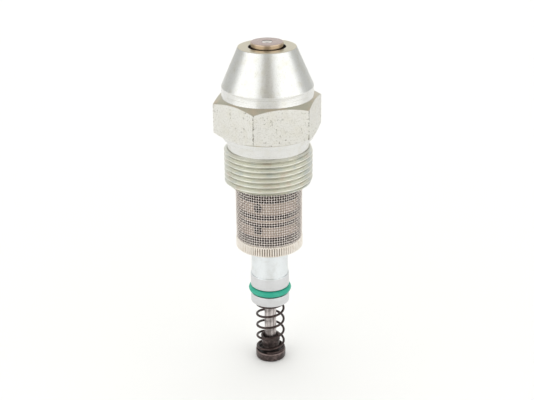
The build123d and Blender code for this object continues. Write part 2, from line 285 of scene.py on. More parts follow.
class Surface:
    """A material under construction: its Principled shader and the patterns that feed it."""

    def __init__(self, name: str, base: str, metallic: float, roughness: float, **more: float) -> None:
        """Start a material from what is the same all over it.

        Args:
            name: The finish's name.
            base: Base colour in sRGB hex.
            metallic: The shader's metallic value.
            roughness: The shader's roughness.
            **more: Other shader sockets, spelled with underscores for spaces.
        """
        self.material = bpy.data.materials.new(name)
        self.material.use_nodes = True
        self.tree = self.material.node_tree
        self.shader = self.tree.nodes["Principled BSDF"]
        self.shader.inputs["Base Color"].default_value = colour(base)
        self.shader.inputs["Metallic"].default_value = metallic
        self.shader.inputs["Roughness"].default_value = roughness
        for key, value in more.items():
            self.shader.inputs[key.replace("_", " ")].default_value = value
        self.place = self.node("TexCoord", {}).node.outputs["Object"]
        self.normal: bpy.types.NodeSocket | None = None

    def node(
        self, kind: str, settings: dict[str, object], *inputs: Input, **named: Input
    ) -> bpy.types.NodeSocket:
        """Add a shader node with its settings, and set or link its inputs.

        Args:
            kind: The node's type name, without ShaderNode.
            settings: Properties of the node itself.
            *inputs: Its first inputs in order; a number is set, and a socket is linked.
            **named: Other inputs by name, spelled with underscores for spaces.

        Returns:
            The node's first output socket.
        """
        node = self.tree.nodes.new("ShaderNode" + kind)
        for key, value in settings.items():
            setattr(node, key, value)
        spelled = [(name.replace("_", " "), value) for name, value in named.items()]
        for key, value in [*enumerate(inputs), *spelled]:
            if isinstance(value, bpy.types.NodeSocket):
                self.tree.links.new(value, node.inputs[key])
            else:
                node.inputs[key].default_value = value
        return node.outputs[0]

    def span(
        self, source: Input, low: float, high: float, first: float = 0.0, last: float = 1.0
    ) -> bpy.types.NodeSocket:
        """Map a range of a value to another range, and hold it there beyond the ends.

        Args:
            source: The value's socket.
            low: Value that gives the first result.
            high: Value that gives the last result.
            first: Result at low.
            last: Result at high.

        Returns:
            The result's socket.
        """
        return self.node("MapRange", {}, source, low, high, first, last)

    def maths(self, operation: str, *values: Input) -> bpy.types.NodeSocket:
        """Do one sum with a Math node.

        Args:
            operation: The sum's name, in capitals.
            *values: Its one or two values.

        Returns:
            The result's socket.
        """
        return self.node("Math", {"operation": operation}, *values)

    def noise(
        self,
        size_mm: float,
        detail: float = 3.0,
        rough: float = 0.55,
        finer: tuple[float, float, float] = (1.0, 1.0, 1.0),
    ) -> bpy.types.NodeSocket:
        """Noise whose blobs are about a real size.

        Args:
            size_mm: The size of a blob in millimetres.
            detail: Octaves of finer noise.
            rough: Strength of the finer noise.
            finer: How much finer it is along each axis.

        Returns:
            The noise value's socket.
        """
        rate = 1.0 / (size_mm * MM)
        where = self.node("Mapping", {}, self.place, Scale=[rate * factor for factor in finer])
        return self.node("TexNoise", {}, where, Scale=1.0, Detail=detail, Roughness=rough)

    def axis_parts(self) -> tuple[bpy.types.NodeSocket, bpy.types.NodeSocket, bpy.types.NodeSocket]:
        """Distance from the part's axis, angle about it and height, from object coordinates.

        Returns:
            The three sockets, in metres and radians.
        """
        x, y, height = self.node("SeparateXYZ", {}, self.place).node.outputs
        square_x = self.maths("MULTIPLY", x, x)
        square_y = self.maths("MULTIPLY", y, y)
        far = self.maths("SQRT", self.maths("ADD", square_x, square_y))
        return far, self.maths("ARCTAN2", y, x), height

    def tint(self, amount: bpy.types.NodeSocket, other: str) -> None:
        """Mix the base colour towards another one.

        Args:
            amount: Socket of the share of the other colour.
            other: The other colour in sRGB hex.
        """
        socket = self.shader.inputs["Base Color"]
        mix = self.node("Mix", {"data_type": "RGBA"}, amount).node
        mix.inputs[MIX_B].default_value = colour(other)
        if socket.is_linked:
            self.tree.links.new(socket.links[0].from_socket, mix.inputs[MIX_A])
        else:
            mix.inputs[MIX_A].default_value = socket.default_value
        self.tree.links.new(mix.outputs[MIX_RESULT], socket)

    def roughen(self, source: bpy.types.NodeSocket, low: float, high: float) -> None:
        """Drive the roughness from a pattern.

        Args:
            source: The pattern, from 0 to 1.
            low: Roughness where the pattern is 0.
            high: Roughness where it is 1.
        """
        spread = self.span(source, 0.0, 1.0, low, high)
        self.tree.links.new(spread, self.shader.inputs["Roughness"])

    def bump(self, height: bpy.types.NodeSocket, depth_mm: float) -> None:
        """Add relief from a pattern, over any relief added before.

        Args:
            height: The pattern, from 0 to 1.
            depth_mm: How deep the relief is in millimetres.
        """
        relief: dict[str, Input] = {"Strength": 1.0, "Distance": depth_mm * MM, "Height": height}
        if self.normal is not None:
            relief["Normal"] = self.normal
        self.normal = self.node("Bump", {}, **relief)
        self.tree.links.new(self.normal, self.shader.inputs["Normal"])

    def turned(self, line_mm: float, depth_mm: float) -> bpy.types.NodeSocket:
        """Fine tool lines round the axis, as a lathe leaves them.

        Args:
            line_mm: Spacing of the lines.
            depth_mm: Their depth.

        Returns:
            The line pattern's socket.
        """
        far, angle, height = self.axis_parts()
        rate = 1.0 / (line_mm * MM)
        across = self.node(
            "CombineXYZ",
            {},
            self.maths("MULTIPLY", far, rate),
            self.maths("MULTIPLY", self.maths("SINE", angle), LINE_WAVER),
            self.maths("MULTIPLY", height, rate),
        )
        lines = self.node("TexNoise", {}, across, Scale=1.0, Detail=2.0, Roughness=0.6)
        self.bump(lines, depth_mm)
        tangent = self.node("Tangent", {"direction_type": "RADIAL", "axis": "Z"})
        self.tree.links.new(tangent, self.shader.inputs["Tangent"])
        self.shader.inputs["Anisotropic Rotation"].default_value = ACROSS_THE_LINES
        return lines


# ---------------------------------------------------------------- finishes


@dataclass(frozen=True)
class ZincTurned:
    """Free-cutting steel, finish turned and bright zinc plated: silvery, with soft lathe lines.

    The plate is grainy, so its highlights have speckled edges. The grain is drawn about ten times
    as coarse as zinc grain so that it shows. Above straw_from_mm heat has left a straw tint, and
    line_share is how dark the bottoms of the tool lines are.
    """

    name: str = "zinc_plated_steel_turned"
    base: str = "#D9DAD8"
    stain: str = "#C4C0AA"
    line_mm: float = 0.11
    depth_mm: float = 0.002
    line_share: float = 0.0
    grain_mm: float = 0.33
    grain_depth_mm: float = 0.046
    grain_share: float = 0.26
    grain_tint: str = "#857A6D"
    line_tint: str = "#9C9888"
    roughness: float = 0.29
    straw: str = "#C9BE9E"
    straw_from_mm: float = 25.42

    def build(self) -> bpy.types.Material:
        """Make the material.

        Returns:
            The material.
        """
        s = Surface(self.name, self.base, 1.0, self.roughness, Anisotropic=0.3)
        lines = s.turned(self.line_mm, self.depth_mm)
        grain = s.noise(self.grain_mm, 2.0, 0.6)
        s.tint(s.span(s.noise(2.4, 4.0), 0.48, 0.78, 0.0, 0.45), self.stain)
        s.tint(s.span(grain, 0.52, 0.74, 0.0, self.grain_share), self.grain_tint)
        s.tint(s.span(lines, 0.54, 0.70, 0.0, self.line_share), self.line_tint)
        height = s.axis_parts()[2]
        low, high = self.straw_from_mm * MM, (self.straw_from_mm + 0.06) * MM
        s.tint(s.span(height, low, high, 0.0, 0.7), self.straw)
        s.bump(grain, self.grain_depth_mm)
        s.roughen(lines, self.roughness - 0.05, self.roughness + 0.09)
        return s.material


@dataclass(frozen=True)
class ZincDrawn:
    """Cold-drawn hexagon bar, zinc plated as drawn: pale and matt, speckled with fine pits.

    The bar's corners are painted darker along a ragged line.
    """

    name: str = "zinc_plated_steel_drawn"
    base: str = "#DBDAD5"
    mottled: str = "#D3D0C2"
    speckled: str = "#B6B3A8"
    pit_colour: str = "#7E7A6E"
    corner_darkened: str = "#6A6658"
    grain_mm: float = 0.34
    corner_turn: float = 15.0

    def build(self) -> bpy.types.Material:
        """Make the material.

        Returns:
            The material.
        """
        s = Surface(self.name, self.base, 0.72, 0.48)
        angle = s.axis_parts()[1]
        drawn = s.noise(0.5, 3.0, 0.6, (1.0, 1.0, 0.22))
        speckle = s.noise(self.grain_mm, 2.0, 0.6)
        pits = s.noise(self.grain_mm * 1.8, 2.0, 0.55)
        patches = s.noise(4.5, 3.0)
        mottle = s.noise(2.6, 4.0)
        s.tint(s.span(mottle, 0.42, 0.72, 0.0, 0.45), self.mottled)
        s.tint(s.span(speckle, 0.50, 0.68, 0.0, 0.50), self.speckled)
        pitted = s.maths("MULTIPLY", s.span(pits, 0.60, 0.68), s.span(patches, 0.42, 0.62, 0.2, 1.0))
        s.tint(s.maths("MULTIPLY", pitted, 0.75), self.pit_colour)
        # Painted darker along a ragged line at each corner of the hexagon.
        turn = s.maths("MULTIPLY", s.maths("SUBTRACT", angle, radians(self.corner_turn)), 3.0)
        off_corner = s.maths("ABSOLUTE", s.maths("SINE", turn))
        ragged = s.maths("ADD", off_corner, s.span(s.noise(0.7, 4.0, 0.7), 0.35, 0.65, -0.02, 0.07))
        s.tint(s.span(ragged, 0.028, 0.052, 0.85, 0.0), self.corner_darkened)
        s.roughen(drawn, 0.40, 0.58)
        s.bump(drawn, 0.012)
        s.bump(speckle, 0.008)
        s.bump(s.maths("MULTIPLY", pitted, -1.0), 0.05)
        return s.material


@dataclass(frozen=True)
class ZincChamfered:
    """The hexagon's turned chamfers, zinc plated: darker, olive and straw where the plate is thin."""

    name: str = "zinc_plated_steel_chamfered"
    base: str = "#C3C0AF"
    straw: str = "#D6C3AC"
    thin: str = "#8C8878"

    def build(self) -> bpy.types.Material:
        """Make the material.

        Returns:
            The material.
        """
        s = Surface(self.name, self.base, 0.95, 0.34, Anisotropic=0.3)
        lines = s.turned(0.16, 0.005)
        s.tint(s.span(s.noise(3.4, 3.0), 0.46, 0.66, 0.0, 0.6), self.straw)
        s.tint(s.span(s.noise(0.22, 2.0), 0.56, 0.72, 0.0, 0.5), self.thin)
        s.roughen(lines, 0.28, 0.45)
        return s.material


@dataclass(frozen=True)
class ZincPassivated:
    """Cut thread, zinc plated and chromate passivated: yellow-green silver with a faint rainbow."""

    name: str = "zinc_plated_steel_threaded"
    base: str = "#E6E6DC"
    blue_film: str = "#CDD6DC"
    pink_film: str = "#E0CCC0"
    speckled: str = "#A5A28C"
    # Painted shade for the thread's roots, and the radii over which it fades out.
    painted_root_shade: str = "#85836F"
    painted_root_shade_mm: tuple[float, float] = (11.60, 11.84)

    def build(self) -> bpy.types.Material:
        """Make the material.

        Returns:
            The material.
        """
        s = Surface(self.name, self.base, 1.0, 0.32, Anisotropic=0.3)
        lines = s.turned(0.09, 0.003)
        far = s.axis_parts()[0]
        film = s.noise(3.2, 3.0, 0.5, (1.0, 1.0, 1.6))
        s.tint(s.span(film, 0.34, 0.46, 0.40, 0.0), self.blue_film)
        s.tint(s.span(film, 0.58, 0.68, 0.0, 0.40), self.pink_film)
        s.tint(s.span(s.noise(0.5, 2.0), 0.60, 0.75, 0.0, 0.35), self.speckled)
        # Painted shade: darkest at the bottom of the thread's roots, fading towards the crests.
        s.tint(s.span(far, self.painted_root_shade_mm[0] * MM, self.painted_root_shade_mm[1] * MM, 0.62, 0.0), self.painted_root_shade)
        s.roughen(lines, 0.26, 0.42)
        return s.material


@dataclass(frozen=True)
class TemperedSteel:
    """Hardened steel, lapped on top and tempered to a straw and bronze oxide tint.

    Below the hole's rim it is painted dark, as painted shade in the space round it.
    """

    name: str = "tempered_steel_lapped"
    top: str = "#B4A19B"
    clouded: str = "#9A8580"
    side: str = "#C3AF9A"
    side_from_mm: float = 4.38
    # Painted shade for the insert's lower part, in the hole round it.
    gap_painted_shade: str = "#2A211B"
    gap_painted_shade_to_mm: float = 24.98

    def build(self) -> bpy.types.Material:
        """Make the material.

        Returns:
            The material.
        """
        s = Surface(self.name, self.top, 1.0, 0.28)
        far, _, height = s.axis_parts()
        s.tint(s.span(s.noise(0.9, 3.0), 0.46, 0.68, 0.0, 0.5), self.clouded)
        s.tint(s.span(far, self.side_from_mm * MM, (self.side_from_mm + 0.06) * MM), self.side)
        # Painted shade: darkened below the top of the space round the insert.
        s.tint(s.span(height, self.gap_painted_shade_to_mm * MM, (self.gap_painted_shade_to_mm + 0.04) * MM, 0.95, 0.0), self.gap_painted_shade)
        lines = s.turned(0.07, 0.002)
        s.roughen(lines, 0.17, 0.32)
        return s.material


@dataclass(frozen=True)
class PolishedRecess:
    """The orifice's polished recess: a bright cone, painted darker in a ring at its rim, with painted shade
    in the orifice.
    """

    name: str = "tool_steel_polished"
    base: str = "#FBF7F3"
    rim_dark_and_orifice_shade: str = "#2A2320"
    orifice_mm: tuple[float, float] = (0.60, 0.68)
    rim_mm: tuple[float, float] = (1.26, 1.38)

    def build(self) -> bpy.types.Material:
        """Make the material.

        Returns:
            The material.
        """
        s = Surface(self.name, self.base, 1.0, 0.22)
        far = s.axis_parts()[0]
        # Painted shade down the orifice.
        s.tint(s.span(far, self.orifice_mm[0] * MM, self.orifice_mm[1] * MM, 0.95, 0.0), self.rim_dark_and_orifice_shade)
        # Painted darker in a ring at the recess's rim.
        s.tint(s.span(far, self.rim_mm[0] * MM, self.rim_mm[1] * MM, 0.0, 0.85), self.rim_dark_and_orifice_shade)
        s.roughen(s.turned(0.05, 0.001), 0.16, 0.30)
        return s.material


@dataclass(frozen=True)
class TurnedSteel:
    """Stainless steel bar, finish turned: cool bright silver with soft lathe lines.

    Inside the strainer it is painted dark, an oily film and painted shade behind the gauze, and below
    worn_to_mm handling has dulled it.
    """

    name: str = "stainless_steel_turned"
    base: str = "#E2E6E8"
    clouded: str = "#C8C8C4"
    speckled: str = "#A8A8A4"
    # Painted shade with an oily film, for the part inside the strainer.
    oil_and_painted_shade: str = "#2A2421"
    oil_and_shade_from_mm: float = -33.5
    worn: str = "#C6C2C3"
    worn_to_mm: float = -42.7

    def build(self) -> bpy.types.Material:
        """Make the material.

        Returns:
            The material.
        """
        s = Surface(self.name, self.base, 0.92, 0.38, Anisotropic=0.2)
        height = s.axis_parts()[2]
        lines = s.turned(0.28, 0.003)
        s.tint(s.span(s.noise(2.2, 4.0), 0.50, 0.74, 0.0, 0.40), self.clouded)
        s.tint(s.span(s.noise(0.3, 2.0), 0.62, 0.74, 0.0, 0.22), self.speckled)
        s.tint(s.span(height, (self.worn_to_mm - 0.2) * MM, self.worn_to_mm * MM, 0.48, 0.0), self.worn)
        # Inside the strainer: an oily film and painted shade, seen through the gauze's ports.
        s.tint(s.span(height, self.oil_and_shade_from_mm * MM, (self.oil_and_shade_from_mm + 0.3) * MM), self.oil_and_painted_shade)
        s.roughen(lines, 0.27, 0.42)
        return s.material


@dataclass(frozen=True)
class Wire:
    """Stainless steel wire, drawn and woven: grey with a warm cast.

    An oily film and painted shade darken the inside of the weave, so only the outer side of each wire is
    bright.
    """

    name: str = "stainless_steel_woven"
    base: str = "#FFF8F2"
    clouded: str = "#D3C6BF"
    oil_and_painted_shade: str = "#57443A"
    oil_and_shade_mm: tuple[float, float] = (9.25, 9.53)

    def build(self) -> bpy.types.Material:
        """Make the material.

        Returns:
            The material.
        """
        s = Surface(self.name, self.base, 0.9, 0.36)
        far = s.axis_parts()[0]
        s.tint(s.span(s.noise(1.8, 3.0), 0.45, 0.68, 0.0, 0.45), self.clouded)
        # Painted shade deep in the weave, with an oily film: the inner side of each wire is darkened.
        s.tint(s.span(far, self.oil_and_shade_mm[0] * MM, self.oil_and_shade_mm[1] * MM, 0.9, 0.0), self.oil_and_painted_shade)
        s.roughen(s.noise(0.25, 2.0), 0.28, 0.48)
        s.bump(s.noise(0.08, 2.0), 0.006)
        return s.material


@dataclass(frozen=True)
class PaintedShadeSleeve:
    """The strainer's brass sleeve behind the gauze: painted shade all over, and its lit colour on the bands
    that touch the gauze.
    """

    name: str = "brass_sleeve_painted_shade"
    # Painted shade: the sleeve's body is painted dark, as the gauze shades it.
    base: str = "#2B1C14"
    caked: str = "#332A25"
    rubbed_and_lit: str = "#CDB9AA"
    lit_bands_from_mm: float = 8.80

    def build(self) -> bpy.types.Material:
        """Make the material.

        Returns:
            The material.
        """
        s = Surface(self.name, self.base, 1.0, 0.36)
        far = s.axis_parts()[0]
        s.tint(s.span(s.noise(1.4, 4.0), 0.45, 0.70, 0.0, 0.5), self.caked)
        # Lit colour on the bands nearest the gauze, standing out from the painted shade.
        s.tint(s.span(far, self.lit_bands_from_mm * MM, (self.lit_bands_from_mm + 0.05) * MM), self.rubbed_and_lit)
        s.roughen(s.noise(0.4, 3.0), 0.26, 0.42)
        s.bump(s.noise(0.3, 2.0), 0.004)
        return s.material


@dataclass(frozen=True)
class NickelBrass:
    """Brass, dull nickel plated: warm beige silver, yellower where the plate is worn.

    Old oil and dirt darken the knurl's grooves.
    """

    name: str = "nickel_plated_brass"
    base: str = "#EFE9E1"
    worn: str = "#D9CDBD"
    groove_dark: str = "#77695B"
    grooves_mm: tuple[float, float] = (9.40, 9.66)
    knurl_mm: tuple[float, float] = (-33.25, -30.9)
    # An oily film and painted shade for the spigot inside the gauze.
    oil_and_painted_shade: str = "#3A2A20"
    oil_and_shade_from_mm: float = -30.46

    def build(self) -> bpy.types.Material:
        """Make the material.

        Returns:
            The material.
        """
        s = Surface(self.name, self.base, 0.95, 0.33)
        far, _, height = s.axis_parts()
        s.tint(s.span(s.noise(1.3, 4.0), 0.46, 0.72, 0.0, 0.6), self.worn)
        low, high = (limit * MM for limit in self.knurl_mm)
        above = s.span(height, low, low + 0.1 * MM)
        below = s.span(height, high - 0.1 * MM, high, 1.0, 0.0)
        grooved = s.span(far, self.grooves_mm[0] * MM, self.grooves_mm[1] * MM, 0.7, 0.0)
        # The knurl's grooves are painted darker, by radius.
        s.tint(s.maths("MULTIPLY", s.maths("MULTIPLY", above, below), grooved), self.groove_dark)
        # Painted shade with an oily film on the spigot inside the gauze.
        oil_and_shade_share = s.span(height, self.oil_and_shade_from_mm * MM, (self.oil_and_shade_from_mm + 0.03) * MM, 0.0, 0.9)
        s.tint(oil_and_shade_share, self.oil_and_painted_shade)
        s.roughen(s.noise(0.4, 3.0), 0.26, 0.48)
        s.bump(s.noise(0.12, 2.0), 0.004)
        return s.material


@dataclass(frozen=True)
class SealRubber:
    """Moulded fluorocarbon or nitrile rubber: satin, with the faint bloom of mould release."""

    name: str
    base: str
    bloom: str
    roughness: float = 0.42

    def build(self) -> bpy.types.Material:
        """Make the material.

        Returns:
            The material.
        """
        s = Surface(self.name, self.base, 0.0, self.roughness, IOR=1.41)
        s.tint(s.span(s.noise(1.6, 4.0), 0.48, 0.75, 0.0, 0.5), self.bloom)
        s.roughen(s.noise(0.5, 3.0), self.roughness - 0.06, self.roughness + 0.14)
        s.bump(s.noise(0.16, 3.0), 0.008)
        return s.material


@dataclass(frozen=True)
class GroundSteel:
    """Ground and polished tool steel: grey, slightly warm, with dark streaks down its length, partly oily
    and partly painted reflection.
    """

    name: str = "tool_steel_ground"
    base: str = "#E0D9D7"
    oil_and_painted_shade: str = "#827876"
    clouded: str = "#8C817E"
    streak_mm: float = 0.85

    def build(self) -> bpy.types.Material:
        """Make the material.

        Returns:
            The material.
        """
        s = Surface(self.name, self.base, 1.0, 0.30, Anisotropic=0.3)
        lines = s.turned(0.06, 0.002)
        streaks = s.noise(self.streak_mm, 2.0, 0.5, (1.0, 1.0, 0.06))
        # Dark streaks along the rod: partly an oily film, partly painted reflection streaks.
        s.tint(s.span(streaks, 0.42, 0.60, 0.0, 0.85), self.oil_and_painted_shade)
        s.tint(s.span(s.noise(0.5, 3.0), 0.50, 0.70, 0.0, 0.5), self.clouded)
        s.roughen(lines, 0.24, 0.42)
        return s.material


@dataclass(frozen=True)
class OiledSteel:
    """Oil-tempered or black-oxide steel: brown-black, with an oily sheen and lighter worn patches.

    Where seat_mm is given, a flange has its seat between those heights. Inside rim_mm the seat gets painted
    shadow from the spring's end coil, and outside it the rim gets a painted highlight.
    """

    name: str
    base: str
    rubbed_and_lit: str
    # Lighter worn patches, and the colour of the rim's painted highlight.
    grain_mm: float = 0.30
    seat_mm: tuple[float, float] | None = None
    rim_mm: float = 4.18
    # Painted shadow on the seat, under the spring's end coil.
    seat_painted_shadow: str = "#120D0B"

    def build(self) -> bpy.types.Material:
        """Make the material.

        Returns:
            The material.
        """
        s = Surface(self.name, self.base, 0.75, 0.38, Coat_Weight=0.25, Coat_Roughness=0.25)
        s.tint(s.span(s.noise(self.grain_mm * 4.0, 4.0), 0.48, 0.72, 0.0, 0.65), self.rubbed_and_lit)
        if self.seat_mm is not None:
            low, high = (limit * MM for limit in self.seat_mm)
            far, _, height = s.axis_parts()
            above = s.span(height, low - 0.04 * MM, low)
            below = s.span(height, high, high + 0.4 * MM, 1.0, 0.0)
            inside = s.span(far, self.rim_mm * MM, (self.rim_mm + 0.05) * MM, 1.0, 0.0)
            seat = s.maths("MULTIPLY", above, below)
            # Painted shadow on the seat, under the spring's end coil.
            s.tint(s.maths("MULTIPLY", seat, s.maths("MULTIPLY", inside, 0.85)), self.seat_painted_shadow)
            # Painted highlight on the flange's chamfered rim.
            rim = s.span(height, low - 0.36 * MM, low - 0.30 * MM)
            outside = s.span(far, self.rim_mm * MM, (self.rim_mm + 0.05) * MM)
            s.tint(s.maths("MULTIPLY", s.maths("MULTIPLY", rim, outside), 0.65), self.rubbed_and_lit)
        s.roughen(s.noise(self.grain_mm * 2.0, 3.0), 0.28, 0.48)
        s.bump(s.noise(self.grain_mm, 3.0), 0.008)
        return s.material


@dataclass(frozen=True)
class HiddenMetal:
    """A machined metal inside the cartridge: its own colour, with turned lines and slight tarnish."""

    name: str
    base: str
    tarnish: str
    roughness: float = 0.34

    def build(self) -> bpy.types.Material:
        """Make the material.

        Returns:
            The material.
        """
        s = Surface(self.name, self.base, 1.0, self.roughness)
        lines = s.turned(0.10, 0.004)
        s.tint(s.span(s.noise(1.5, 4.0), 0.48, 0.72, 0.0, 0.5), self.tarnish)
        s.roughen(lines, self.roughness - 0.06, self.roughness + 0.12)
        return s.material


@dataclass(frozen=True)
class BoreShadow:
    """The body's unplated bore, drilled and oily: dark grey steel, also painted shade on the hole's wall
    round the insert.
    """

    name: str = "steel_bore_and_painted_shade"
    base: str = "#4A4138"

    def build(self) -> bpy.types.Material:
        """Make the material.

        Returns:
            The material.
        """
        s = Surface(self.name, self.base, 0.85, 0.48)
        lines = s.turned(0.16, 0.010)
        s.roughen(lines, 0.40, 0.60)
        return s.material


# ---------------------------------------------------------------- fixing


def stand_in(piece: bpy.types.Object, body: Body, node: str) -> None:
    """Put a mesh in a CAD node's place.

    Args:
        piece: The mesh.
        body: The body that it rides on.
        node: The node that it replaces.
    """
    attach(piece, body.value)
    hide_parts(node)


# ---------------------------------------------------------------- the nozzle's head


class HeadSlot(Enum):
    """Material slots of the body, in the order of its finishes."""

    TURNED = 0
    DRAWN = 1
    CHAMFER = 2
    THREAD = 3
    BORE = 4
    BAND = 5


@dataclass
class NozzleHead:
    """The turned body with its cone, hexagon, washer face, neck and thread, and the orifice insert."""

    across_flats: float = 27.0
    corner_rounding: float = 0.35
    corner_turn: float = 15.0
    chamfer_angle: float = 25.6
    band_r: float = 12.8
    washer_r: float = 12.8
    washer_z: float = 1.08
    band_z: float = 11.85
    cone_base: Point = (12.75, 14.75)
    cone_top: Point = (8.035, 25.5)
    neck_r: float = 11.5
    thread_r: float = 12.5
    thread_pitch: float = 1.5
    thread_depth: float = 0.92
    thread_top: float = -3.0
    thread_end: float = -13.5
    thread_start_r: float = 11.7
    thread_start_slope: float = 0.8 / 0.5
    thread_end_r: float = 11.65
    thread_end_slope: float = 0.85 / 0.45
    flank_rounding: float = 0.2
    rows_per_pitch: int = 20
    columns: int = 336
    corner_columns: tuple[float, ...] = (-0.9, -0.62, -0.4, -0.2, 0.0, 0.2, 0.4, 0.62, 0.9)
    bore: tuple[Point, ...] = (
        (10.2, -13.5),
        (10.2, -4.5),
        (9.0, -4.5),
        (9.0, 4.5),
        (7.0, 5.7),
        (7.0, 22.5),
        (5.15, 22.5),
    )
    insert_r: float = 4.5
    insert_top: float = 26.8
    recess_r: float = 1.5
    pilot_r: float = 5.11
    pilot_top: float = 24.9
    orifice_r: float = 0.6
    orifice_top: float = 26.3

    def hex_radius(self, angle: float) -> float:
        """Distance from the axis to the hexagon's outside.

        Args:
            angle: Angle about the axis in radians.

        Returns:
            The distance, with the corners rounded.
        """
        flat = self.across_flats / 2.0
        turn = (angle - radians(self.corner_turn)) % (pi / 3.0)
        from_corner = min(turn, pi / 3.0 - turn)
        centre = (flat - self.corner_rounding) / cos(pi / 6.0)
        edge = pi / 6.0 - atan2((flat - self.corner_rounding) * tan(pi / 6.0), flat)
        if from_corner < edge:
            inner = self.corner_rounding**2 - (centre * sin(from_corner)) ** 2
            return centre * cos(from_corner) + sqrt(max(inner, 0.0))
        return flat / cos(pi / 6.0 - from_corner)

    def thread_radius(self, angle: float, z: float) -> float:
        """Radius of the threaded surface, right-handed, cut off by the chamfers at both ends.

        Args:
            angle: Angle about the axis in radians.
            z: Height in millimetres.

        Returns:
            The radius.
        """
        turns = (z - self.thread_top) / self.thread_pitch - angle / (2.0 * pi)
        off = abs(turns - round(turns)) * self.thread_pitch
        drop = (off - self.thread_pitch / 16.0) / tan(radians(30.0))
        drop = min(max(drop, 0.0), self.thread_depth)
        share = drop / self.thread_depth
        share = (1.0 - self.flank_rounding) * share + self.flank_rounding * smoothstep(share)
        drop = self.thread_depth * share
        upper = self.thread_start_r + (self.thread_top - z) * self.thread_start_slope
        lower = self.thread_end_r + (z - self.thread_end) * self.thread_end_slope
        return min(self.thread_r - drop, upper, lower)

    def outline(self, angle: float) -> list[Point]:
        """The body's closed outline at an angle.

        Args:
            angle: Angle about the axis in radians.

        Returns:
            Radii and heights in order, from the cone's top rim down the outside and up the bore.
        """
        slope = tan(radians(self.chamfer_angle))
        r = self.hex_radius(angle)
        top = self.band_z - (r - self.band_r) * slope
        bottom = self.washer_z + (r - self.washer_r) * slope
        corners = [
            (*self.cone_top, 0.22),
            (*self.cone_base, 0.30),
            (self.band_r, self.band_z, 0.08),
            (r, top, 0.10),
            (r, bottom, 0.12),
            (self.washer_r, self.washer_z, 0.06),
            (self.washer_r, 0.0, 0.12),
            (self.neck_r, 0.0, 0.25),
            (self.neck_r, self.thread_top, 0.0),
        ]
        rows = ceil((self.thread_top - self.thread_end) / self.thread_pitch * self.rows_per_pitch)
        for row in range(rows + 1):
            z = self.thread_top + (self.thread_end - self.thread_top) * row / rows
            corners.append((self.thread_radius(angle, z), z, 0.0))
        corners += [(bore_r, z, 0.0) for bore_r, z in self.bore]
        corners.append((self.bore[-1][0], self.cone_top[1], 0.18))
        return rounded(corners)

    def slot_of(self, x: float, y: float, z: float) -> int:
        """The material slot of a face of the body.

        Args:
            x: Middle of the face along X in millimetres.
            y: Along Y.
            z: Along Z.

        Returns:
            The slot's number.
        """
        r = hypot(x, y)
        # The hole's wall round the insert takes the dark bore finish as painted shade.
        in_hole = r < self.bore[-1][0] + 0.05 and z < self.cone_top[1] - 0.14
        in_bore = r < self.bore[0][0] + 0.15 and z < self.bore[-1][1] - 0.1
        if in_hole or in_bore:
            return HeadSlot.BORE.value
        if z > self.cone_base[1] - 0.2:
            return HeadSlot.TURNED.value
        if z > self.band_z - 0.05:
            return HeadSlot.BAND.value
        if z < self.thread_top + 0.01:
            return HeadSlot.THREAD.value
        if z < self.washer_z:
            return HeadSlot.BAND.value
        hex_r = self.hex_radius(atan2(y, x))
        return HeadSlot.DRAWN.value if r > hex_r - 0.09 else HeadSlot.CHAMFER.value

    def insert_slot_of(self, x: float, y: float, z: float) -> int:
        """The material slot of a face of the insert: 1 in the polished recess, otherwise 0.

        Args:
            x: Middle of the face along X in millimetres.
            y: Along Y.
            z: Along Z.

        Returns:
            The slot's number.
        """
        return int(hypot(x, y) < self.recess_r and z < self.insert_top - 0.02)

    def angles(self) -> list[float]:
        """Angles of the body's columns, closer together at the hexagon's corners.

        Returns:
            The angles in radians, in order.
        """
        angles = set(even_angles(self.columns))
        for corner in range(6):
            middle = radians(self.corner_turn) + corner * pi / 3.0
            angles |= {(middle + radians(off)) % (2.0 * pi) for off in self.corner_columns}
        ordered = sorted(angles)
        return [a for i, a in enumerate(ordered) if i == 0 or a - ordered[i - 1] > 1e-4]

    def build_body(self) -> bpy.types.Object:
        """Make the body and dress it.

        Returns:
            The body.
        """
        piece = spin("nozzle_body_turned", self.outline, self.angles(), self.slot_of, 30.0)
        band = ZincTurned(
            name="zinc_plated_steel_grooved",
            base="#DEDEDC",
            stain="#D0CCBC",
            line_mm=0.42,
            depth_mm=0.012,
            line_share=0.30,
            grain_depth_mm=0.003,
            grain_share=0.14,
            roughness=0.20,
        )
        drawn = ZincDrawn(corner_turn=self.corner_turn)
        for finish in (ZincTurned(), drawn, ZincChamfered(), ZincPassivated(), BoreShadow(), band):
            piece.data.materials.append(finish.build())
        return piece

    def build_insert(self) -> bpy.types.Object:
        """Make the orifice insert, with its pilot, lapped rim and spray recess.

        Returns:
            The insert.
        """
        outline = [
            (3.0, 20.0, 0.05),
            (6.95, 20.0, 0.15),
            (6.95, 22.5, 0.15),
            (self.pilot_r, 22.5, 0.1),
            (self.pilot_r, self.pilot_top, 0.12),
            (self.insert_r - 0.08, self.pilot_top, 0.15),
            (self.insert_r, self.insert_top - 0.35, 0.15),
            (self.insert_r, self.insert_top, 0.12),
            (self.recess_r, self.insert_top, 0.05),
            (self.orifice_r, self.orifice_top, 0.04),
            (self.orifice_r, 23.0, 0.02),
        ]
        column = rounded(outline)
        piece = spin("orifice_insert_lapped", lambda angle: column, even_angles(128), self.insert_slot_of)
        piece.data.materials.append(TemperedSteel().build())
        piece.data.materials.append(PolishedRecess().build())
        return piece

    def build(self) -> list[bpy.types.Object]:
        """Make the head's pieces and fix them to the housing.

        Returns:
            The pieces.
        """
        body, insert = self.build_body(), self.build_insert()
        stand_in(body, Body.HOUSING, "nozzle_body")
        stand_in(insert, Body.HOUSING, "orifice_insert")
        return [body, insert]


# ---------------------------------------------------------------- the strainer


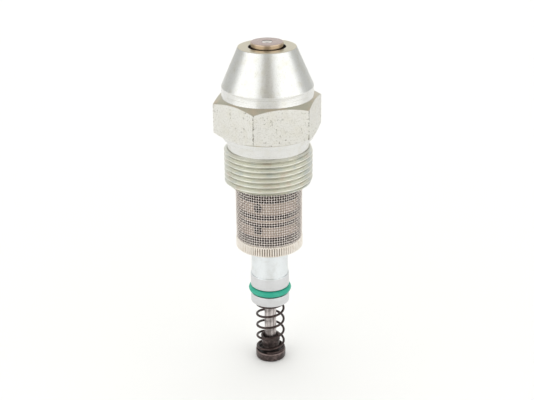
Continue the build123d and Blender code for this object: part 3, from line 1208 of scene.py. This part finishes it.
@dataclass
class Strainer:
    """Woven gauze tube and the knurled ring that closes it."""

    outer_r: float = 9.57
    wire_d: float = 0.21
    pitch: float = 0.735
    bottom: float = -30.5
    top: float = -5.6
    samples: int = 4
    sides: int = 6
    ring_r: float = 9.7
    ring_bottom: float = -33.6
    ring_bore_r: float = 5.37
    spigot_r: float = 8.95
    spigot_bore_r: float = 8.22
    spigot_top: float = -29.0
    floor_z: float = -31.7
    edge: float = 0.42
    chamfer: float = 0.34
    knurls: int = 86
    knurl_depth: float = 0.32
    groove_share: float = 0.26
    columns_per_knurl: int = 8

    def build_gauze(self) -> list[bpy.types.Object]:
        """Weave the gauze: upright wires and hoops that pass over and under each other.

        Returns:
            The upright wires and the hoops, as two pieces.
        """
        middle = self.outer_r - self.wire_d
        wave = self.wire_d / 2.0
        uprights = 2 * round(pi * middle / self.pitch)
        hoops = round((self.top - self.bottom) / self.pitch)
        rise = (self.top - self.bottom) / hoops
        warp, weft = bmesh.new(), bmesh.new()
        for index in range(uprights):
            angle = 2.0 * pi * index / uprights
            path = []
            for step in range(hoops * self.samples + 1):
                along = step / self.samples
                r = middle + wave * cos(pi * (along - 0.5 + index))
                path.append(Vector((r * cos(angle), r * sin(angle), self.bottom + rise * along)))
            sweep_tube(warp, path, wave, self.sides, closed=False)
        for hoop in range(hoops):
            z = self.bottom + rise * (hoop + 0.5)
            path = []
            for step in range(uprights * self.samples):
                along = step / self.samples
                angle = 2.0 * pi * along / uprights
                r = middle - wave * cos(pi * (along + hoop))
                path.append(Vector((r * cos(angle), r * sin(angle), z)))
            sweep_tube(weft, path, wave, self.sides, closed=True)
        pieces = [
            finished("gauze_upright_wires", warp, sharp=80.0),
            finished("gauze_hoop_wires", weft, sharp=80.0),
        ]
        wire = Wire().build()
        for piece in pieces:
            piece.data.materials.append(wire)
        return pieces

    def build_ring(self) -> bpy.types.Object:
        """Make the knurled ring.

        Returns:
            The ring.
        """

        def outline(angle: float) -> list[Point]:
            """The ring's closed outline at an angle, with the knurl's groove there.

            Args:
                angle: Angle about the axis in radians.

            Returns:
                Radii and heights in order, up the bore and down the outside.
            """
            phase = (angle * self.knurls / (2.0 * pi)) % 1.0
            groove = smoothstep(1.0 - abs(phase - 0.5) / self.groove_share)
            r = self.ring_r - self.knurl_depth * groove
            return rounded(
                [
                    (self.ring_bore_r, self.floor_z, 0.0),
                    (self.spigot_bore_r, self.floor_z, 0.0),
                    (self.spigot_bore_r, self.spigot_top, 0.0),
                    (self.spigot_r, self.spigot_top, 0.0),
                    (self.spigot_r, self.bottom, 0.0),
                    (self.ring_r - self.edge, self.bottom, 0.06),
                    (r, self.bottom - self.chamfer, 0.12),
                    (r, self.ring_bottom + self.chamfer, 0.12),
                    (self.ring_r - self.edge, self.ring_bottom, 0.06),
                    (self.ring_bore_r, self.ring_bottom, 0.1),
                ],
                3,
            )

        angles = even_angles(self.knurls * self.columns_per_knurl)
        piece = spin("strainer_end_ring_knurled", outline, angles, sharp=40.0)
        piece.data.materials.append(NickelBrass().build())
        return piece

    def build(self) -> list[bpy.types.Object]:
        """Make the strainer's pieces and fix them to the housing.

        Returns:
            The pieces.
        """
        gauze = self.build_gauze()
        ring = self.build_ring()
        for piece in gauze:
            stand_in(piece, Body.HOUSING, "strainer_mesh")
        stand_in(ring, Body.HOUSING, "strainer_end_ring")
        return [*gauze, ring]


# ---------------------------------------------------------------- the return stem


@dataclass
class ReturnStem:
    """The stepped spigot under the strainer, with its O-ring."""

    top: float = 10.0
    outlet_r: float = 3.3
    tip_r: float = 4.3
    flange_r: float = 8.97
    flange: tuple[float, float] = (3.5, -4.5)
    upper_r: float = 5.35
    lower_r: float = 5.67
    step: float = -42.6
    groove_r: float = 4.49
    groove: tuple[float, float] = (-46.4, -48.8)
    bottom: float = -52.3
    ring_z: float = -47.6
    ring_r: float = 6.30
    ring_section: float = 1.8
    ring_sides: int = 40
    flash: float = 0.03

    def build_stem(self) -> bpy.types.Object:
        """Make the spigot.

        Returns:
            The spigot.
        """
        high, low = self.groove
        outline = [
            (self.outlet_r, self.top, 0.05),
            (self.tip_r, self.top, 0.05),
            (self.tip_r, self.flange[0], 0.1),
            (self.flange_r, self.flange[0], 0.1),
            (self.flange_r, self.flange[1], 0.1),
            (self.upper_r, self.flange[1], 0.1),
            (self.upper_r, self.step, 0.04),
            (self.lower_r, self.step, 0.12),
            (self.lower_r, high, 0.10),
            (self.groove_r, high, 0.15),
            (self.groove_r, low, 0.15),
            (self.lower_r, low, 0.10),
            (self.lower_r, self.bottom + 0.62, 0.30),
            (4.5, self.bottom, 0.12),
            (self.outlet_r, self.bottom, 0.08),
        ]
        piece = spin("return_stem_turned", lambda angle: rounded(outline), even_angles(160))
        piece.data.materials.append(TurnedSteel().build())
        return piece

    def build_o_ring(self) -> bpy.types.Object:
        """Make the O-ring, with the fine flash line that its mould leaves.

        Returns:
            The O-ring.
        """
        radius = self.ring_section / 2.0
        centre = self.ring_r - radius - self.flash

        def outline(angle: float) -> list[Point]:
            """The O-ring's section at an angle, slightly uneven, with its flash.

            Args:
                angle: Angle about the axis in radians.

            Returns:
                Radii and heights in order round the section.
            """
            points = []
            for turn in even_angles(self.ring_sides):
                lift = self.flash * max(0.0, 1.0 - abs(sin(turn)) / 0.16) if cos(turn) > 0.0 else 0.0
                wobble = 1.0 + 0.006 * sin(3.0 * angle + 1.0) * cos(turn)
                r = centre + (radius * wobble + lift) * cos(turn)
                points.append((r, self.ring_z + (radius + lift) * sin(turn)))
            return points

        piece = spin("stem_o_ring_moulded", outline, even_angles(160), sharp=60.0)
        piece.data.materials.append(SealRubber("fluorocarbon_rubber_green", "#2CA389", "#50BBA0").build())
        return piece

    def build(self) -> list[bpy.types.Object]:
        """Make the stem's pieces and fix them to the housing.

        Returns:
            The pieces.
        """
        stem, ring = self.build_stem(), self.build_o_ring()
        stand_in(stem, Body.HOUSING, "return_stem")
        stand_in(ring, Body.HOUSING, "stem_o_ring")
        return [stem, ring]


# ---------------------------------------------------------------- needle, knob and spring


@dataclass
class NeedleSet:
    """The sliding needle with its knob, and the spring between the stem and the knob."""

    rod_r: float = 1.75
    clip_r: float = 1.2
    clip_groove: tuple[float, float] = (-43.95, -43.31)
    bore_r: float = 1.78
    nose_r: float = 1.2
    knob_r: float = 4.5
    knob_bottom: float = -71.2
    flange_top: float = -68.6
    hub_top: float = -64.0
    spring_r: float = 4.0
    wire_r: float = 0.35
    stem_bottom: float = -52.3
    turns: float = 5.0
    ramp: float = 0.8
    closed: float = 0.3
    travel: float = 2.5
    points_per_turn: int = 48

    def build_needle(self) -> bpy.types.Object:
        """Make the needle: rod, stop-clip groove, nose and shut-off cone.

        Returns:
            The needle.
        """
        low, high = (corner.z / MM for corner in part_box("needle"))
        cone = (self.nose_r - 0.25) / tan(radians(30.0))
        outline = [
            (0.0, low, 0.0),
            (self.rod_r, low, 0.28),
            (self.rod_r, self.clip_groove[0], 0.03),
            (self.clip_r, self.clip_groove[0], 0.03),
            (self.clip_r, self.clip_groove[1], 0.03),
            (self.rod_r, self.clip_groove[1], 0.03),
            (self.rod_r, -4.4, 0.2),
            (self.nose_r, -4.0, 0.2),
            (self.nose_r, high - cone, 0.2),
            (0.25, high, 0.08),
            (0.0, high, 0.0),
        ]
        piece = spin("needle_ground", lambda angle: rounded(outline), even_angles(96))
        piece.data.materials.append(GroundSteel().build())
        return piece

    def build_knob(self) -> bpy.types.Object:
        """Make the knob: flange with a chamfered rim, painted highlight on the rim and painted shadow on
        the seat, and the cupped hub.

        Returns:
            The knob.
        """
        outline = [
            (self.bore_r, self.knob_bottom, 0.15),
            (self.knob_r, self.knob_bottom, 0.6),
            (self.knob_r, self.flange_top, 0.32),
            (2.45, self.flange_top, 0.25),
            (2.95, self.hub_top, 0.12),
            (2.45, self.hub_top, 0.10),
            (self.bore_r, self.hub_top - 1.1, 0.05),
        ]
        piece = spin("needle_knob_turned", lambda angle: rounded(outline, 6), even_angles(128))
        # Painted shadow on the seat under the spring, painted highlight on the rim.
        finish = OiledSteel("steel_black_oxide", "#3D3230", "#867572", seat_mm=(-68.62, -68.0))
        piece.data.materials.append(finish.build())
        return piece

    def coil_height(self, turn: float) -> float:
        """Height of the spring's wire after a number of turns, flat at both ends.

        Args:
            turn: Turns from where the wire leaves the knob.

        Returns:
            The height in millimetres.
        """
        low = self.flange_top + self.wire_r + 0.01
        high = self.stem_bottom - self.wire_r - 0.01
        pitch = (high - low) / (self.turns - self.ramp)

        def ramped(share: float) -> float:
            """Turns' worth of rise after a share of the ramp, which starts flat."""
            share = min(max(share, 0.0), 1.0)
            return self.ramp * (share**3 - share**4 / 2.0)

        middle = min(max(turn - self.ramp, 0.0), self.turns - 2.0 * self.ramp)
        rest = self.ramp / 2.0 - ramped((self.turns - turn) / self.ramp)
        return low + pitch * (ramped(turn / self.ramp) + middle + rest)

    def build_spring(self) -> bpy.types.Object:
        """Make the right-handed spring with closed ends.

        Returns:
            The spring.
        """
        path = []
        for step in range(round((self.turns + 2.0 * self.closed) * self.points_per_turn) + 1):
            turn = step / self.points_per_turn - self.closed
            across = self.spring_r * cos(2.0 * pi * turn)
            along = self.spring_r * sin(2.0 * pi * turn)
            path.append(Vector((across, along, self.coil_height(turn))))
        mesh = bmesh.new()
        sweep_tube(mesh, path, self.wire_r, 14, closed=False, taper=2)
        piece = finished("return_spring_coil", mesh, sharp=60.0)
        finish = OiledSteel("spring_steel_oil_tempered", "#382B29", "#614E49", grain_mm=0.2)
        piece.data.materials.append(finish.build())
        return piece

    def build(self) -> list[bpy.types.Object]:
        """Make the pieces and fix them to their bodies.

        Returns:
            The pieces.
        """
        needle, knob, spring = self.build_needle(), self.build_knob(), self.build_spring()
        stand_in(needle, Body.NEEDLE, "needle")
        stand_in(knob, Body.NEEDLE, "needle_knob")
        stand_in(spring, Body.HOUSING, "return_spring")
        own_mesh(spring)
        return [needle, knob, spring]


# ---------------------------------------------------------------- inner parts


@dataclass
class InnerParts:
    """The parts that stay as the frame has them, mostly inside, each with its own finish."""

    def build(self) -> list[bpy.types.Object]:
        """Dress the frame's own parts.

        Returns:
            The dressed parts.
        """
        lapped = HiddenMetal("tool_steel_lapped", "#B9B4AE", "#94876F", 0.26)
        bright = HiddenMetal("carbon_steel_turned", "#B4B4B2", "#8D8A80")
        copper = HiddenMetal("copper_annealed", "#C98A6B", "#94604A", 0.36)
        bronze = HiddenMetal("bronze_sintered", "#B08D57", "#86683C", 0.5)
        blued = HiddenMetal("spring_steel_blued", "#55585F", "#3C3B40", 0.3)
        black = OiledSteel("screw_steel_black_oxide", "#2E2A29", "#544C47")
        sleeve = HiddenMetal("brass_nickel_plated_turned", "#CDB9A6", "#A98F78", 0.40)
        nitrile = SealRubber("nitrile_rubber_black", "#1B1B1C", "#2E2E2F")
        finishes = {
            "swirl_disc": lapped,
            "clamp_nut": bright,
            "stem_gasket": copper,
            "strainer_core": PaintedShadeSleeve(),
            "strainer_top_ring": sleeve,
            "strainer_seal": nitrile,
            "front_guide": bronze,
            "rear_guide": bronze,
            "rear_guide_clip": blued,
            "needle_stop_clip": blued,
            "knob_jam_screw": black,
        }
        made: dict[str, bpy.types.Material] = {}
        parts = []
        for node, finish in finishes.items():
            if finish.name not in made:
                made[finish.name] = finish.build()
            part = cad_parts[node]
            part.data.materials.clear()
            part.data.materials.append(made[finish.name])
            parts.append(part)
        return parts


# ---------------------------------------------------------------- studio


@dataclass
class Studio:
    """Pale floor, soft boxes and the camera."""

    target_z: float = -19.7
    distance: float = 299.0
    down: float = 22.94
    roll: float = 0.75
    shift_x: float = -0.56
    lens_mm: float = 70.11
    sensor_mm: float = 36.0
    floor_z: float = -71.2
    fill_place: tuple[float, float, float] = (0.0, 0.75, 1.0)
    fill_size: tuple[float, float] = (2.0, 1.4)
    fill_watts: float = 8.6
    side_azimuth: float = 58.0
    side_size: tuple[float, float] = (0.74, 0.72)
    side_watts: float = 1.62
    floor_half: float = 3.0
    floor_steps: int = 8
    world_tone: str = "#F6F6F3"
    world_strength: float = 0.74

    def facing(self, azimuth: float, rise: float, distance: float) -> Matrix:
        """Place for something that faces the part.

        Args:
            azimuth: Degrees to the camera's right, seen from the part; 0 is towards the camera.
            rise: Degrees above the horizon.
            distance: Metres from the part.

        Returns:
            The world matrix, whose -Z axis points at the part.
        """
        flat = radians(azimuth - 90.0)
        out = Vector((cos(flat) * cos(radians(rise)), sin(flat) * cos(radians(rise)), sin(radians(rise))))
        where = Vector((0.0, 0.0, self.target_z * MM)) + out * distance
        return Matrix.Translation(where) @ out.to_track_quat("Z", "Y").to_matrix().to_4x4()

    def build_light(
        self,
        name: str,
        azimuth: float,
        rise: float,
        distance: float,
        size: tuple[float, float],
        watts: float,
    ) -> bpy.types.Object:
        """Add a soft box.

        Args:
            name: The light's name.
            azimuth: Degrees to the camera's right; 0 is towards the camera.
            rise: Degrees above the horizon.
            distance: Metres from the part.
            size: Width and height in metres.
            watts: Power.

        Returns:
            The light.
        """
        data = bpy.data.lights.new(name, "AREA")
        data.shape = "RECTANGLE"
        data.size, data.size_y = size
        data.energy = watts
        light = bpy.data.objects.new(name, data)
        light.matrix_world = self.facing(azimuth, rise, distance)
        bpy.context.scene.collection.objects.link(light)
        return light

    def build_fill(self) -> bpy.types.Object:
        """Add the overhead lamp that evens out the floor behind the part; metal doesn't mirror it.

        Returns:
            The light.
        """
        data = bpy.data.lights.new("floor_fill", "AREA")
        data.shape = "RECTANGLE"
        data.size, data.size_y = self.fill_size
        data.energy = self.fill_watts
        light = bpy.data.objects.new("floor_fill", data)
        light.location = self.fill_place
        light.visible_glossy = False
        bpy.context.scene.collection.objects.link(light)
        return light

    def build_flag(
        self,
        name: str,
        azimuth: float,
        rise: float,
        distance: float,
        size: tuple[float, float],
        tone: str,
    ) -> bpy.types.Object:
        """Add a grey card that only shows as a reflection in the metal.

        Args:
            name: The card's name.
            azimuth: Degrees to the camera's right; 0 is towards the camera.
            rise: Degrees above the horizon.
            distance: Metres from the part.
            size: Width and height in metres.
            tone: Its colour in sRGB hex.

        Returns:
            The card.
        """
        mesh = bmesh.new()
        bmesh.ops.create_grid(mesh, x_segments=2, y_segments=2, size=0.5)
        bmesh.ops.scale(mesh, vec=(size[0], size[1], 1.0), verts=mesh.verts)
        data = bpy.data.meshes.new(name)
        mesh.to_mesh(data)
        mesh.free()
        card = bpy.data.objects.new(name, data)
        card.matrix_world = self.facing(azimuth, rise, distance)
        card.visible_camera = False
        card.visible_shadow = False
        bpy.context.scene.collection.objects.link(card)
        data.materials.append(Surface("studio_card_grey", tone, 0.0, 0.9).material)
        return card

    def build_floor(self) -> bpy.types.Object:
        """Add the pale floor.

        Returns:
            The floor.
        """
        mesh = bmesh.new()
        steps = self.floor_steps
        bmesh.ops.create_grid(mesh, x_segments=steps, y_segments=steps, size=self.floor_half)
        data = bpy.data.meshes.new("studio_floor")
        mesh.to_mesh(data)
        mesh.free()
        floor = bpy.data.objects.new("studio_floor", data)
        floor.location.z = self.floor_z * MM
        bpy.context.scene.collection.objects.link(floor)
        data.materials.append(Surface("backdrop_paper", "#EDEDEC", 0.0, 0.9).material)
        return floor

    def build_camera(self) -> bpy.types.Object:
        """Add the camera.

        Returns:
            The camera.
        """
        data = bpy.data.cameras.new("camera")
        data.lens = self.lens_mm
        data.sensor_width = self.sensor_mm
        data.clip_start = 0.01
        camera = bpy.data.objects.new("camera", data)
        tilt = radians(self.down)
        target = Vector((self.shift_x, 0.0, self.target_z)) * MM
        camera.location = target + Vector((0.0, -cos(tilt), sin(tilt))) * self.distance * MM
        camera.rotation_mode = "QUATERNION"
        looking = (target - camera.location).to_track_quat("-Z", "Y")
        roll = Matrix.Rotation(radians(self.roll), 4, "Z").to_quaternion()
        camera.rotation_quaternion = looking @ roll.inverted()
        bpy.context.scene.collection.objects.link(camera)
        bpy.context.scene.camera = camera
        return camera

    def build(self) -> None:
        """Set up floor, lights, surroundings and camera."""
        self.build_floor()
        self.build_camera()
        for name, azimuth in (("soft_box_left", -self.side_azimuth), ("soft_box_right", self.side_azimuth)):
            self.build_light(name, azimuth, 20.0, 0.55, self.side_size, self.side_watts)
        self.build_light("backdrop_glow", 180.0, 23.0, 0.7, (0.60, 0.44), 0.24)
        self.build_fill()
        self.build_flag("camera_flag", 0.0, 24.5, 0.62, (0.36, 0.44), "#B2ADA4")
        world = bpy.data.worlds.new("studio")
        bpy.context.scene.world = world
        world.use_nodes = True
        backdrop = world.node_tree.nodes["Background"]
        backdrop.inputs["Color"].default_value = colour(self.world_tone)
        backdrop.inputs["Strength"].default_value = self.world_strength
        bpy.context.scene.view_settings.view_transform = "Standard"


def main() -> None:
    """Build the cartridge piece by piece, and the studio round it."""
    logging.basicConfig(level=logging.INFO, format="%(name)s: %(message)s")
    for assembly in (NozzleHead(), Strainer(), ReturnStem(), NeedleSet(), InnerParts()):
        for piece in assembly.build():
            LOG.info("%s: %s with %d faces", type(assembly).__name__, piece.name, len(piece.data.polygons))
    Studio().build()


if __name__ == "__main__":
    main()
